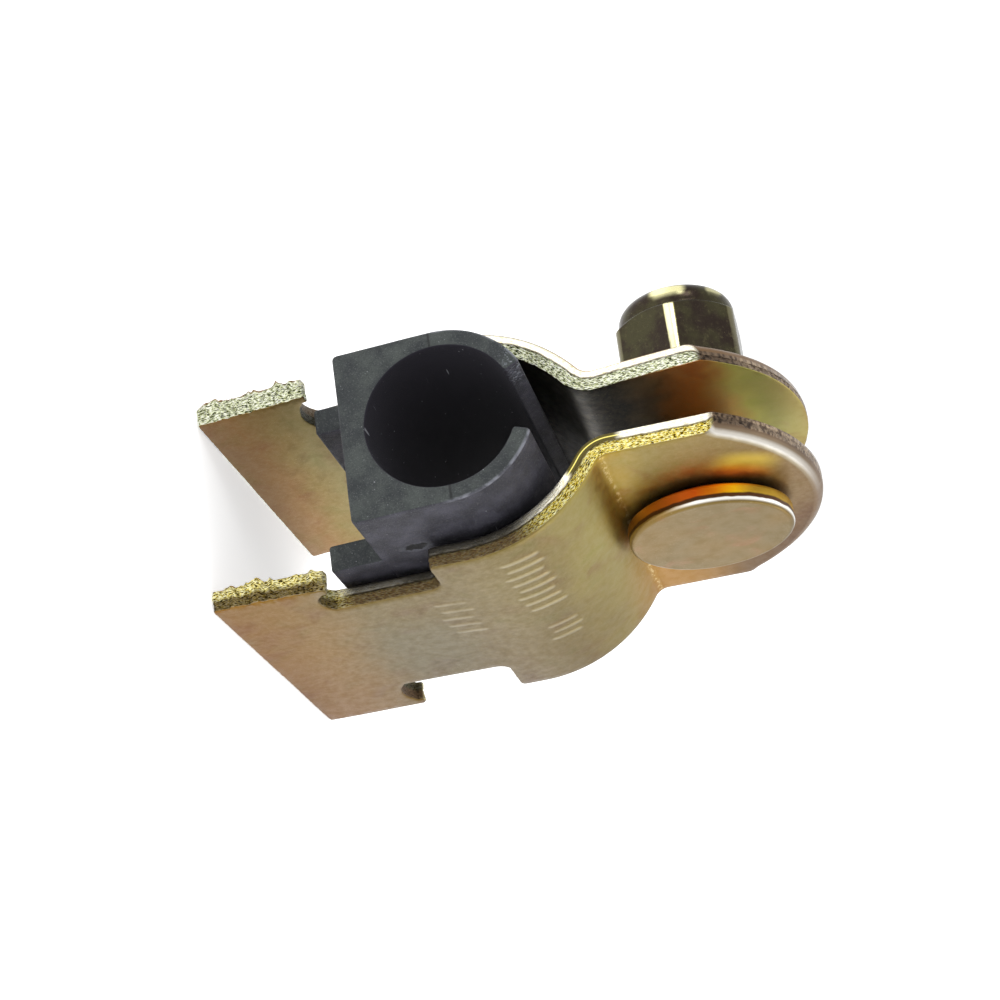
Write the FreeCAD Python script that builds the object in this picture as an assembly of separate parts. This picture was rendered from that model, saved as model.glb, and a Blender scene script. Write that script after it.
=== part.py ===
"""Cushioned channel clamp for a small pipe: two hooked plates, a rubber liner, a bolt and a lock nut.

Frame, in millimetres: the origin is the centre of the pipe bore, midway along the liner. +Y runs along
the pipe, +Z points from the hooked feet to the bolted ears, and +X points to the side of the bolt's head.
Each plate is drawn upright, with its foot on z = 0, then leaned outwards about its foot and lowered.
"""
import FreeCAD, Part
import math
import os

from FreeCAD import Vector

# Pipe bore and rubber liner
BORE_RADIUS = 6.45
BORE_HEIGHT = 23.3            # above the soles of the feet
MOUTH_HALF_ANGLE = 23.5       # degrees each side of +Z, where the bore is open
LINER_LENGTH = 36.5
LINER_RADIUS = 8.0            # outside of the two arms, and half the width of the block
BLOCK_DEPTH = 8.6             # from the bore's centre down to the base of the block
BLOCK_CORNER = 0.5
LUG_THICKNESS = 2.5
LUG_DEPTH = 13.0              # from the bore's centre down to the sole of the lugs
LUG_LENGTH = 20.1

# Stamped plates
CLAMP_SHIFT = 3.75            # from the middle of the liner to the middle of the plates, along +Y
THICKNESS = 1.9
PLATE_WIDTH = 31.75
LEG_GAP = 16.2                # between the inner faces of the feet
EAR_GAP = 1.9                 # between the ears while both plates stand upright
LEG_HEIGHT = 22.3             # straight part of the leg
BODY_BEND = 13.4              # bend radii on the middle of the sheet
EAR_BEND = 2.6
EAR_SIDE = 44.7               # height where the ear's round end begins
EAR_TOP = 52.4
EAR_CORNER = 0.5
EAR_ROLL = 1.2                # radius of the rolled-over edge outside the ear's round end
PLATE_LEAN = 2.0              # degrees, ears outwards
HOOK_TOP = 10.1
HOOK_WIDTH = 1.2
RELIEF_FLOOR = 8.8
RELIEF_START = 9.7
NECK_FRONT = 11.2             # from the middle of the plate to the bottom of each side's notch
NECK_BACK = 9.7
NECK_FILLET = 1.2
SHOULDER_FRONT = 19.2
SHOULDER_BACK = 19.8
SHOULDER_CORNER = 0.6

# Bolt, nut and their holes
BOLT_HEIGHT = 41.85
HEAD_GAP = 0.25               # between the ear and the head, whose rim meets the ear's bend
HEAD_RADIUS = 7.5
HEAD_THICKNESS = 2.2
HEAD_EDGE = 0.55
HEAD_BEVEL = 0.5              # depth and width of the bevel round the head's underside
HEAD_BEVEL_WIDTH = 0.9
SHOULDER_RADIUS = 3.97
SHOULDER_LENGTH = 5.8
THREAD_RADIUS = 3.17
BOLT_LENGTH = 19.05           # under the head
POINT_CHAMFER = 0.5
HEAD_SIDE_HOLE = 4.05
NUT_SIDE_HOLE = 4.15
NUT_FLATS = 11.11
NUT_HEX_HEIGHT = 6.2
NUT_CHAMFER = 0.6
NUT_HEIGHT = 8.6
NUT_BORE = 3.22
NUT_SPACE = 13.15             # from the head's underside to the nut's base
COLLAR_RADIUS = 5.5
COLLAR_CORNER = 1.4
LIP_RADIUS = 3.9              # opening in the collar that shows the nylon
RING_RADIUS = 4.5
RING_CLEARANCE = 0.05
RING_THICKNESS = 1.6

HALF_WIDTH = PLATE_WIDTH / 2
LEG_INSIDE = LEG_GAP / 2
LEG_OUTSIDE = LEG_INSIDE + THICKNESS
EAR_RISE = EAR_TOP - EAR_SIDE
EAR_RADIUS = (HALF_WIDTH ** 2 + EAR_RISE ** 2) / (2 * EAR_RISE)
EAR_ANGLE = math.asin(HALF_WIDTH / EAR_RADIUS)
EAR_INSIDE = EAR_GAP / 2
EAR_OUTSIDE = EAR_INSIDE + THICKNESS
HEAD_UNDERSIDE = EAR_OUTSIDE + HEAD_GAP
MARGIN = 5.0                  # how far a cutting solid runs past what it cuts


def polar(centre, radius, angle):
    """Point (x, z) at an angle in radians from +X, about a centre (x, z)."""
    return centre[0] + radius * math.cos(angle), centre[1] + radius * math.sin(angle)


def line(start, end):
    return Part.LineSegment(start, end).toShape()


def arc(start, middle, end):
    return Part.Arc(start, middle, end).toShape()


def face(edges):
    return Part.Face(Part.Wire(edges))


def sheet_section():
    """Section of an upright plate in the XZ plane: leg, two opposite bends and ear."""
    middle = LEG_INSIDE + THICKNESS / 2
    drop = middle - (EAR_INSIDE + THICKNESS / 2)
    turn = math.acos(1 - drop / (BODY_BEND + EAR_BEND))
    body_centre = (middle - BODY_BEND, LEG_HEIGHT)
    ear_centre = polar(body_centre, BODY_BEND + EAR_BEND, turn)
    half = THICKNESS / 2
    top = EAR_TOP + MARGIN

    def at(point):
        return Vector(point[0], 0, point[1])

    def bent_side(body_radius, ear_radius, leg_x, ear_x):
        """One face of the sheet, from the sole up to the top of the ear."""
        meet = at(polar(body_centre, body_radius, turn))
        ear_start = at((ear_x, ear_centre[1]))
        back = math.pi + turn
        return [
            line(at((leg_x, 0)), at((leg_x, LEG_HEIGHT))),
            arc(at((leg_x, LEG_HEIGHT)), at(polar(body_centre, body_radius, turn / 2)), meet),
            arc(meet, at(polar(ear_centre, ear_radius, (back + math.pi) / 2)), ear_start),
            line(ear_start, at((ear_x, top))),
        ]

    inside = bent_side(BODY_BEND - half, EAR_BEND + half, LEG_INSIDE, EAR_INSIDE)
    outside = bent_side(BODY_BEND + half, EAR_BEND - half, LEG_OUTSIDE, EAR_OUTSIDE)
    ends = [
        line(at((EAR_INSIDE, top)), at((EAR_OUTSIDE, top))),
        line(at((LEG_OUTSIDE, 0)), at((LEG_INSIDE, 0))),
    ]
    return face(Part.__sortEdges__(inside + outside + ends))


def half_outline(side, neck, shoulder):
    """Edges of one half of the plate's outline in the YZ plane, from the sole to the top of the ear.

    side is -1 for the front half and 1 for the back half.
    """
    def at(y, z):
        return Vector(0, side * y, z)

    prong = HALF_WIDTH - HOOK_WIDTH
    relief_middle = (neck + prong) / 2
    corner = math.sqrt(0.5)

    def on_ear(angle):
        return at(EAR_RADIUS * math.sin(angle), EAR_TOP - EAR_RADIUS * (1 - math.cos(angle)))

    corner_angle = EAR_ANGLE - EAR_CORNER / EAR_RADIUS
    before_corner = at(HALF_WIDTH, EAR_SIDE - EAR_CORNER)
    after_corner = on_ear(corner_angle)
    corner_chord = (before_corner + after_corner) / 2
    corner_point = (corner_chord + at(HALF_WIDTH, EAR_SIDE)) / 2
    fillet_centre = (neck + NECK_FILLET, shoulder - NECK_FILLET)
    round_centre = (HALF_WIDTH - SHOULDER_CORNER, shoulder + SHOULDER_CORNER)
    return [
        line(at(0, 0), at(HALF_WIDTH, 0)),
        line(at(HALF_WIDTH, 0), at(HALF_WIDTH, HOOK_TOP)),
        line(at(HALF_WIDTH, HOOK_TOP), at(prong, HOOK_TOP)),
        arc(at(prong, HOOK_TOP), at(relief_middle, RELIEF_FLOOR), at(neck, RELIEF_START)),
        line(at(neck, RELIEF_START), at(neck, fillet_centre[1])),
        arc(at(neck, fillet_centre[1]),
            at(fillet_centre[0] - NECK_FILLET * corner, fillet_centre[1] + NECK_FILLET * corner),
            at(fillet_centre[0], shoulder)),
        line(at(fillet_centre[0], shoulder), at(round_centre[0], shoulder)),
        arc(at(round_centre[0], shoulder),
            at(round_centre[0] + SHOULDER_CORNER * corner, round_centre[1] - SHOULDER_CORNER * corner),
            at(HALF_WIDTH, round_centre[1])),
        line(at(HALF_WIDTH, round_centre[1]), before_corner),
        arc(before_corner, corner_point, after_corner),
        arc(after_corner, on_ear(corner_angle / 2), on_ear(0)),
    ]


def ear_roll():
    """What the rolled-over edge takes off the outside of the ear's round end."""
    centre = Vector(0, 0, EAR_TOP - EAR_RADIUS)
    middle_of_roll = (EAR_OUTSIDE - EAR_ROLL, EAR_TOP - EAR_ROLL)
    edge_x, edge_z = polar(middle_of_roll, EAR_ROLL, math.pi / 4)
    start = Vector(middle_of_roll[0], 0, EAR_TOP)
    end = Vector(EAR_OUTSIDE, 0, middle_of_roll[1])
    above = start + Vector(0, 0, MARGIN)
    outside = Vector(EAR_OUTSIDE + MARGIN, 0, EAR_TOP + MARGIN)
    beside = end + Vector(MARGIN, 0, 0)
    profile = face([arc(start, Vector(edge_x, 0, edge_z), end), line(end, beside), line(beside, outside),
                    line(outside, above), line(above, start)])
    profile.rotate(centre, Vector(1, 0, 0), -math.degrees(EAR_ANGLE))
    return profile.revolve(centre, Vector(1, 0, 0), 2 * math.degrees(EAR_ANGLE))


def lean_and_lower(shape):
    """Lean an upright piece out about the outer edge of the head-side foot, then set it in the frame."""
    shape.rotate(Vector(LEG_OUTSIDE, 0, 0), Vector(0, 1, 0), PLATE_LEAN)
    shape.translate(Vector(0, CLAMP_SHIFT, -BORE_HEIGHT))
    return shape


def plate(hole_radius):
    """Hooked, bent plate with its bolt hole, on the +X side."""
    sheet = sheet_section().extrude(Vector(0, PLATE_WIDTH + 2 * MARGIN, 0))
    sheet.translate(Vector(0, -HALF_WIDTH - MARGIN, 0))
    front = half_outline(-1, NECK_FRONT, SHOULDER_FRONT)
    back = half_outline(1, NECK_BACK, SHOULDER_BACK)
    outline = face(Part.__sortEdges__(front + back))
    blank = outline.extrude(Vector(LEG_OUTSIDE + MARGIN, 0, 0))
    hole = Part.makeCylinder(hole_radius, THICKNESS + 2 * MARGIN,
                             Vector(EAR_INSIDE - MARGIN, 0, BOLT_HEIGHT), Vector(1, 0, 0))
    stamped = sheet.common(blank).cut(hole)
    return lean_and_lower(stamped.cut(ear_roll()))


def head_side_plate():
    return plate(HEAD_SIDE_HOLE)


def nut_side_plate():
    """The same stamping with its own hole, turned round to face the first."""
    turned_round = plate(NUT_SIDE_HOLE)
    turned_round.rotate(Vector(0, CLAMP_SHIFT, 0), Vector(0, 0, 1), 180)
    return turned_round


def rubber_liner():
    """Block with a round top, bored for the pipe and slit open along the top, with two lugs below."""
    half_length = LINER_LENGTH / 2
    along = Vector(0, 1, 0)
    front = Vector(0, -half_length, 0)
    body = Part.makeBox(2 * LINER_RADIUS, LINER_LENGTH, BLOCK_DEPTH,
                        Vector(-LINER_RADIUS, -half_length, -BLOCK_DEPTH))
    lower_edges = [edge for edge in body.Edges
                   if edge.CenterOfMass.z < -BLOCK_DEPTH + BLOCK_CORNER
                   and abs(edge.CenterOfMass.x) > LINER_RADIUS - BLOCK_CORNER]
    body = body.makeFillet(BLOCK_CORNER, lower_edges)
    body = body.fuse(Part.makeCylinder(LINER_RADIUS, LINER_LENGTH, front, along))
    lug_height = LUG_DEPTH - BLOCK_DEPTH + BLOCK_CORNER
    for start in (-LINER_RADIUS, LINER_RADIUS - LUG_THICKNESS):
        lug = Part.makeBox(LUG_THICKNESS, LUG_LENGTH, lug_height, Vector(start, -LUG_LENGTH / 2, -LUG_DEPTH))
        body = body.fuse(lug)
    bore = Part.makeCylinder(BORE_RADIUS, LINER_LENGTH + 2 * MARGIN, front - along * MARGIN, along)
    angle = math.radians(MOUTH_HALF_ANGLE)
    reach = LINER_RADIUS + MARGIN
    left = Vector(-reach * math.sin(angle), 0, reach * math.cos(angle))
    right = Vector(reach * math.sin(angle), 0, reach * math.cos(angle))
    middle = Vector(0, 0, 0)
    wedge = face([line(middle, left), line(left, right), line(right, middle)])
    wedge.translate(front - along * MARGIN)
    mouth = wedge.extrude(along * (LINER_LENGTH + 2 * MARGIN))
    return body.cut(bore).cut(mouth).removeSplitter()


def turned(profile):
    """Revolve a closed profile, given as (distance along the bolt, radius), about the bolt's axis.

    The distance is measured from the underside of the head, towards the nut.
    """
    points = [Vector(HEAD_UNDERSIDE - along, 0, BOLT_HEIGHT + radius) for along, radius in profile]
    edges = [line(points[i - 1], points[i]) for i in range(len(points))]
    return face(edges).revolve(Vector(0, 0, BOLT_HEIGHT), Vector(1, 0, 0), 360)


def shoulder_bolt():
    """Flat round head, a plain shoulder and a plain cylinder of the thread's outer diameter."""
    tip = BOLT_LENGTH
    bolt = turned([
        (-HEAD_THICKNESS, 0), (-HEAD_THICKNESS, HEAD_RADIUS - HEAD_EDGE),
        (-HEAD_THICKNESS + HEAD_EDGE, HEAD_RADIUS), (-HEAD_BEVEL, HEAD_RADIUS),
        (0, HEAD_RADIUS - HEAD_BEVEL_WIDTH), (0, SHOULDER_RADIUS),
        (SHOULDER_LENGTH, SHOULDER_RADIUS), (SHOULDER_LENGTH, THREAD_RADIUS),
        (tip - POINT_CHAMFER, THREAD_RADIUS), (tip, THREAD_RADIUS - POINT_CHAMFER), (tip, 0),
    ])
    return lean_and_lower(bolt)


def lock_nut():
    """Hexagonal nut with a round collar that is rolled over the nylon ring."""
    base = NUT_SPACE
    corner_radius = NUT_FLATS / math.sqrt(3)
    start = Vector(HEAD_UNDERSIDE - base, 0, BOLT_HEIGHT)
    corners = []
    for step in range(6):
        angle = math.radians(60 * step)
        corners.append(start + Vector(0, -corner_radius * math.cos(angle), corner_radius * math.sin(angle)))
    hexagon = face([line(corners[i - 1], corners[i]) for i in range(6)])
    hexagon = hexagon.extrude(Vector(-NUT_HEX_HEIGHT, 0, 0))
    envelope = turned([
        (base, 0), (base, NUT_FLATS / 2), (base + NUT_CHAMFER, corner_radius),
        (base + NUT_HEX_HEIGHT - NUT_CHAMFER, corner_radius), (base + NUT_HEX_HEIGHT, NUT_FLATS / 2),
        (base + NUT_HEX_HEIGHT, 0),
    ])
    end = base + NUT_HEIGHT
    collar = turned([
        (base + NUT_HEX_HEIGHT / 2, 0), (base + NUT_HEX_HEIGHT / 2, COLLAR_RADIUS),
        (end - COLLAR_CORNER, COLLAR_RADIUS), (end, COLLAR_RADIUS - COLLAR_CORNER), (end, 0),
    ])
    pocket = turned([
        (ring_start() - RING_CLEARANCE, 0), (ring_start() - RING_CLEARANCE, RING_RADIUS + RING_CLEARANCE),
        (ring_start() + RING_THICKNESS + RING_CLEARANCE, RING_RADIUS + RING_CLEARANCE),
        (ring_start() + RING_THICKNESS + RING_CLEARANCE, LIP_RADIUS), (end + MARGIN, LIP_RADIUS),
        (end + MARGIN, 0),
    ])
    bore = turned([(base - MARGIN, 0), (base - MARGIN, NUT_BORE), (end + MARGIN, NUT_BORE), (end + MARGIN, 0)])
    nut = hexagon.common(envelope).fuse(collar).cut(pocket).cut(bore)
    return lean_and_lower(nut)


def ring_start():
    """Distance from the head's underside to the near face of the nylon ring."""
    return NUT_SPACE + NUT_HEX_HEIGHT


def nylon_ring():
    start = ring_start()
    ring = turned([
        (start, NUT_BORE), (start, RING_RADIUS),
        (start + RING_THICKNESS, RING_RADIUS), (start + RING_THICKNESS, NUT_BORE),
    ])
    return lean_and_lower(ring)


def main():
    os.makedirs("parts", exist_ok=True)
    pieces = {
        "head_side_plate": head_side_plate(),
        "nut_side_plate": nut_side_plate(),
        "rubber_liner": rubber_liner(),
        "shoulder_bolt": shoulder_bolt(),
        "lock_nut": lock_nut(),
        "nylon_ring": nylon_ring(),
    }
    for name, shape in pieces.items():
        box = shape.BoundBox
        print(name, "solids", len(shape.Solids), "valid", shape.isValid(), "volume", round(shape.Volume, 1),
              "x", round(box.XMin, 2), round(box.XMax, 2), "y", round(box.YMin, 2), round(box.YMax, 2),
              "z", round(box.ZMin, 2), round(box.ZMax, 2))
        shape.exportStep("parts/" + name + ".step")


main()
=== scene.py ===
import math

import bpy
import numpy as np
from mathutils import Matrix, Vector, noise
from mathutils.geometry import delaunay_2d_cdt


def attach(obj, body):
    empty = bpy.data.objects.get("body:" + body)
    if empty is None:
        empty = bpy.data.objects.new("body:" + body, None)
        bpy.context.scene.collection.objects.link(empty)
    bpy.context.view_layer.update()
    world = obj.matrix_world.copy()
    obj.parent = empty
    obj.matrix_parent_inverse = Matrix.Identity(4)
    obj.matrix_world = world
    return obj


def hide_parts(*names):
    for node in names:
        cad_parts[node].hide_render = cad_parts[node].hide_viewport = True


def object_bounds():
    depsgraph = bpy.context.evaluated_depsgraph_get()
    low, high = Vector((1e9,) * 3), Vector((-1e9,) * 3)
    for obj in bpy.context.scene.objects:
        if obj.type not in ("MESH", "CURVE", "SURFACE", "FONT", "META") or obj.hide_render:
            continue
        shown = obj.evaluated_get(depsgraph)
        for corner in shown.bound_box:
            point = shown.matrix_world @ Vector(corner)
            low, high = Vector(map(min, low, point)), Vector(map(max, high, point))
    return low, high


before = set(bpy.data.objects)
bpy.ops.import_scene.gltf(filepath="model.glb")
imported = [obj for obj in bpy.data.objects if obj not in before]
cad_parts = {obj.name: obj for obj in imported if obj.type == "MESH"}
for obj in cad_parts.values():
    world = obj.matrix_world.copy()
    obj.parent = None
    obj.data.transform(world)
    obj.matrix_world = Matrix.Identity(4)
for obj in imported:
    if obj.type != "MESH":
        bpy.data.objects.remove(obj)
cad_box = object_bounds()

# Looks of a cushioned channel clamp. Geometry is worked out in millimetres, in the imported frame
# (origin in the middle of the liner's bore, +Y along the pipe, +Z from the feet to the ears, +X to the
# bolt's head), and scaled to metres when a mesh is made.
MM = 0.001
CLAMP_SHIFT = 3.75    # from the middle of the liner to the middle of the plates, along +Y

# Stamped plates, upright and with the foot on zero
THICKNESS = 1.9
HALF_WIDTH = 15.875
LEG_INSIDE = 8.1
EAR_INSIDE = 0.95
LEG_HEIGHT = 22.3
BODY_BEND = 13.4
EAR_BEND = 2.6
EAR_SIDE = 44.7
EAR_TOP = 52.4
EAR_CORNER = 0.5
EAR_ROLL = 1.2         # radius of the rolled-over edge outside the ear's round end
HOOK_TOP = 10.1
HOOK_WIDTH = 1.2
RELIEF_FLOOR = 8.8
RELIEF_START = 9.7
NECK_FRONT = 11.2
NECK_BACK = 9.7
NECK_FILLET = 1.2
SHOULDER_FRONT = 19.2
SHOULDER_BACK = 19.8
SHOULDER_CORNER = 0.6
PLATE_LEAN = math.radians(2.0)
BORE_HEIGHT = 23.3
BOLT_HEIGHT = 41.85
HEAD_SIDE_HOLE = 4.05
NUT_SIDE_HOLE = 4.15

# Bolt, nut and ring, measured along the bolt from the underside of its head
HEAD_GAP = 0.25       # between the ear and the head
HEAD_RADIUS = 7.5
HEAD_THICKNESS = 2.2
HEAD_BEVEL = 0.5
HEAD_BEVEL_WIDTH = 0.9
SHOULDER_RADIUS = 3.97
SHOULDER_LENGTH = 5.8
THREAD_RADIUS = 3.17
THREAD_PITCH = 1.27
THREAD_DEPTH = 0.62
BOLT_LENGTH = 19.05
NUT_START = 13.15
NUT_FLATS = 11.11
CORNER_WEAR = 0.15
NUT_HEX_HEIGHT = 6.2
NUT_CHAMFER = 0.6
NUT_HEIGHT = 8.6
NUT_BORE = 3.22
COLLAR_RADIUS = 5.5
COLLAR_ROUND = 1.5
LIP_RADIUS = 3.9
RING_RADIUS = 4.5
RING_GAP = 0.05
RING_THICKNESS = 1.6
BOLT_SEGMENTS = 96
NUT_SEGMENTS = 180

# Rubber liner
BORE_RADIUS = 6.45
LINER_RADIUS = 8.0
LINER_LENGTH = 36.5
BLOCK_DEPTH = 8.6
BLOCK_CORNER = 0.45
MOUTH_HALF_ANGLE = math.radians(23.5)
LUG_THICKNESS = 2.5
LUG_DEPTH = 13.0
LUG_LENGTH = 20.1
PIT_ALONG = 11.2       # chafed pit on the bolt head's side of the liner
PIT_BELOW = 5.0
PIT_DEPTH = 0.35

# Sheared band of each plate's cut edge: 0 is the outer face of the sheet and 1 the inner one
HEAD_SIDE_BAND = (0.6, 1.2)
NUT_SIDE_BAND = (-0.2, 0.4)
HEAD_SIDE_SHADE_TO = 30.5    # how far up the front edge carries painted shade

# Camera
CAMERA_AZIMUTH = math.radians(26.02)
CAMERA_ELEVATION = math.radians(9.02)
CAMERA_ROLL = math.radians(76.62)
CAMERA_DISTANCE = 0.1769
CAMERA_TARGET = Vector((-0.00145, 0.00305, 0.00016))
CAMERA_LENS = 68.56
CAMERA_SENSOR = 36.0

# Studio, in metres and watts. Lights are (name, place, size, power)
FLOOR_RADIUS = 3.0
FLOOR_COLOUR = (0.86, 0.86, 0.86, 1)
FLOOR_GLOW = 0.55
WORLD_STRENGTH = 1.1
LIGHTS = (
    ("key", (-0.35, -0.55, 0.35), 0.25, 0.9),
    ("top", (0.1, 0.1, 0.7), 0.4, 0.5),
    ("rim", (0.5, 0.45, 0.25), 0.3, 0.5),
)

HALF = THICKNESS / 2
LEG_MIDDLE = LEG_INSIDE + HALF
LEG_OUTSIDE = LEG_INSIDE + THICKNESS
HEAD_UNDERSIDE = EAR_INSIDE + THICKNESS + HEAD_GAP
BEND_TURN = math.acos(1 - (LEG_INSIDE - EAR_INSIDE) / (BODY_BEND + EAR_BEND))
BODY_END = LEG_HEIGHT + BODY_BEND * BEND_TURN
EAR_START = BODY_END + EAR_BEND * BEND_TURN
EAR_START_HEIGHT = LEG_HEIGHT + (BODY_BEND + EAR_BEND) * math.sin(BEND_TURN)
TO_SHEET = EAR_START - EAR_START_HEIGHT
CREASE = (BODY_END + EAR_START) / 2
HEAD_REFLECTION_AIM = (0.89, 0.45)    # from the bolt to the painted reflection beside its head: forwards, and up the ear
HEAD_ALONG = BOLT_HEIGHT + TO_SHEET
SHEET_SIDE = EAR_SIDE + TO_SHEET
SHEET_LENGTH = EAR_TOP + TO_SHEET
EAR_RADIUS = (HALF_WIDTH ** 2 + (EAR_TOP - EAR_SIDE) ** 2) / (2 * (EAR_TOP - EAR_SIDE))
FULL_TURN = 2 * math.pi
SHARP_ANGLE = math.radians(38)


# ---- outlines

def arc_points(centre, radius, start, end, step):
    """Points along an arc, angles in radians, both ends included."""
    count = max(2, math.ceil(abs(end - start) * radius / step) + 1)
    angles = np.linspace(start, end, count)
    return [(centre[0] + radius * math.cos(a), centre[1] + radius * math.sin(a)) for a in angles]


def three_point_arc(first, middle, last, step):
    """Points along the arc through three points."""
    (ax, ay), (bx, by), (cx, cy) = first, middle, last
    a, b, c = ax * ax + ay * ay, bx * bx + by * by, cx * cx + cy * cy
    d = 2 * (ax * (by - cy) + bx * (cy - ay) + cx * (ay - by))
    ux = (a * (by - cy) + b * (cy - ay) + c * (ay - by)) / d
    uy = (a * (cx - bx) + b * (ax - cx) + c * (bx - ax)) / d
    radius = math.hypot(ax - ux, ay - uy)
    start = math.atan2(ay - uy, ax - ux)
    middle_angle = math.atan2(by - uy, bx - ux)
    end = math.atan2(cy - uy, cx - ux)
    if (middle_angle - start) % FULL_TURN > (end - start) % FULL_TURN:
        end = start - (start - end) % FULL_TURN
    else:
        end = start + (end - start) % FULL_TURN
    return arc_points((ux, uy), radius, start, end, step)


def rounded(corners, step):
    """Closed outline from corners (u, v, radius), each rounded with its own radius."""
    points = []
    for i, (u, v, radius) in enumerate(corners):
        here = Vector((u, v))
        before = (Vector(corners[i - 1][:2]) - here).normalized()
        after = (Vector(corners[(i + 1) % len(corners)][:2]) - here).normalized()
        opening = before.angle(after)
        if radius == 0 or opening > math.pi - 0.02:
            points.append((u, v))
            continue
        reach = radius / math.tan(opening / 2)
        centre = here + (before + after).normalized() * radius / math.sin(opening / 2)
        start = here + before * reach - centre
        end = here + after * reach - centre
        sweep = start.angle_signed(end)
        first = math.atan2(start.y, start.x)
        points += arc_points(centre, radius, first, first - sweep, step)
    return points


def evenly(points, step):
    """The closed outline with its long sides divided into short ones."""
    result = []
    for i, (u, v) in enumerate(points):
        nu, nv = points[(i + 1) % len(points)]
        length = math.hypot(nu - u, nv - v)
        if length < step * 0.05:
            continue
        count = max(1, round(length / step))
        for k in range(count):
            result.append((u + (nu - u) * k / count, v + (nv - v) * k / count))
    return np.array(result)


def inward(loop):
    """Vectors that move each point of a closed loop one unit to the left of its direction."""
    before = loop - np.roll(loop, 1, axis=0)
    after = np.roll(loop, -1, axis=0) - loop
    before /= np.linalg.norm(before, axis=1)[:, None]
    after /= np.linalg.norm(after, axis=1)[:, None]
    first = np.c_[-before[:, 1], before[:, 0]]
    second = np.c_[-after[:, 1], after[:, 0]]
    cosine = (first * second).sum(axis=1)
    return (first + second) / (1 + cosine)[:, None]


def inside(points, loops):
    """Which points lie inside the first loop and outside its holes, the other loops."""
    result = np.zeros(len(points), bool)
    x, y = points[:, 0], points[:, 1]
    for loop in loops:
        for (ax, ay), (bx, by) in zip(np.roll(loop, 1, axis=0), loop):
            if ay != by:
                result ^= ((ay > y) != (by > y)) & (x < (bx - ax) * (y - ay) / (by - ay) + ax)
    return result


def ring_pairs(loops):
    """For each loop the pairs of neighbouring points, numbered on through all loops."""
    start = 0
    for loop in loops:
        count = len(loop)
        yield [(start + k, start + (k + 1) % count) for k in range(count)]
        start += count


def filling(loops, inset, step, fine=None):
    """Triangles that fill the space between loops moved in by inset, with a grid of points inside.

    fine is (low corner, high corner, step) of boxes that get a finer grid.
    """
    edge = [loop + inward(loop) * inset for loop in loops]
    boundary = np.vstack(edge)
    low, high = boundary.min(axis=0), boundary.max(axis=0)

    def lattice(low, high, step):
        u = np.arange(low[0] + step / 2, high[0], step)
        v = np.arange(low[1] + step / 2, high[1], step * 0.866)
        grid = np.stack(np.meshgrid(u, v), axis=-1)
        grid[1::2, :, 0] += step / 2
        return grid.reshape(-1, 2)

    points = lattice(low, high, step)
    spacing = np.full(len(points), step)
    for box_low, box_high, box_step in fine or []:
        within = np.all((points > np.array(box_low)) & (points < np.array(box_high)), axis=1)
        extra = lattice(box_low, box_high, box_step)
        points = np.vstack([points[~within], extra])
        spacing = np.concatenate([spacing[~within], np.full(len(extra), box_step)])
    keep = inside(points, edge)
    points, spacing = points[keep], spacing[keep]
    nearest = np.full(len(points), np.inf)
    for block in np.array_split(np.arange(len(boundary)), max(1, len(boundary) // 100)):
        gaps = np.linalg.norm(points[:, None, :] - boundary[None, block, :], axis=2)
        nearest = np.minimum(nearest, gaps.min(axis=1))
    points = points[nearest > spacing * 0.6]
    constraint = [pair for ring in ring_pairs(loops) for pair in ring]
    everything = [Vector(p) for p in np.vstack([boundary, points])]
    verts, _, faces, source, _, _ = delaunay_2d_cdt(everything, constraint, [], 1, 1e-7)
    centres = np.array([[sum(verts[i].x for i in f) / 3, sum(verts[i].y for i in f) / 3] for f in faces])
    wanted = inside(centres, edge)
    return points, [[source[i][0] for i in f] for f, kept in zip(faces, wanted) if kept]


# ---- meshes

def finish_object(name, coordinates, faces, body, node):
    """Make the mesh object, ride it on its body and let it stand for its node."""
    piece = mesh_object(name, coordinates, faces)
    smooth(piece.data)
    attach(piece, body)
    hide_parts(node)
    return piece


def mesh_object(name, coordinates, faces):
    mesh = bpy.data.meshes.new(name)
    mesh.from_pydata([tuple(c * MM for c in p) for p in coordinates], [], faces)
    piece = bpy.data.objects.new(name, mesh)
    bpy.context.scene.collection.objects.link(piece)
    return piece


def smooth(mesh):
    mesh.update()
    mesh.shade_smooth()
    mesh.set_sharp_from_angle(angle=SHARP_ANGLE)


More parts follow.
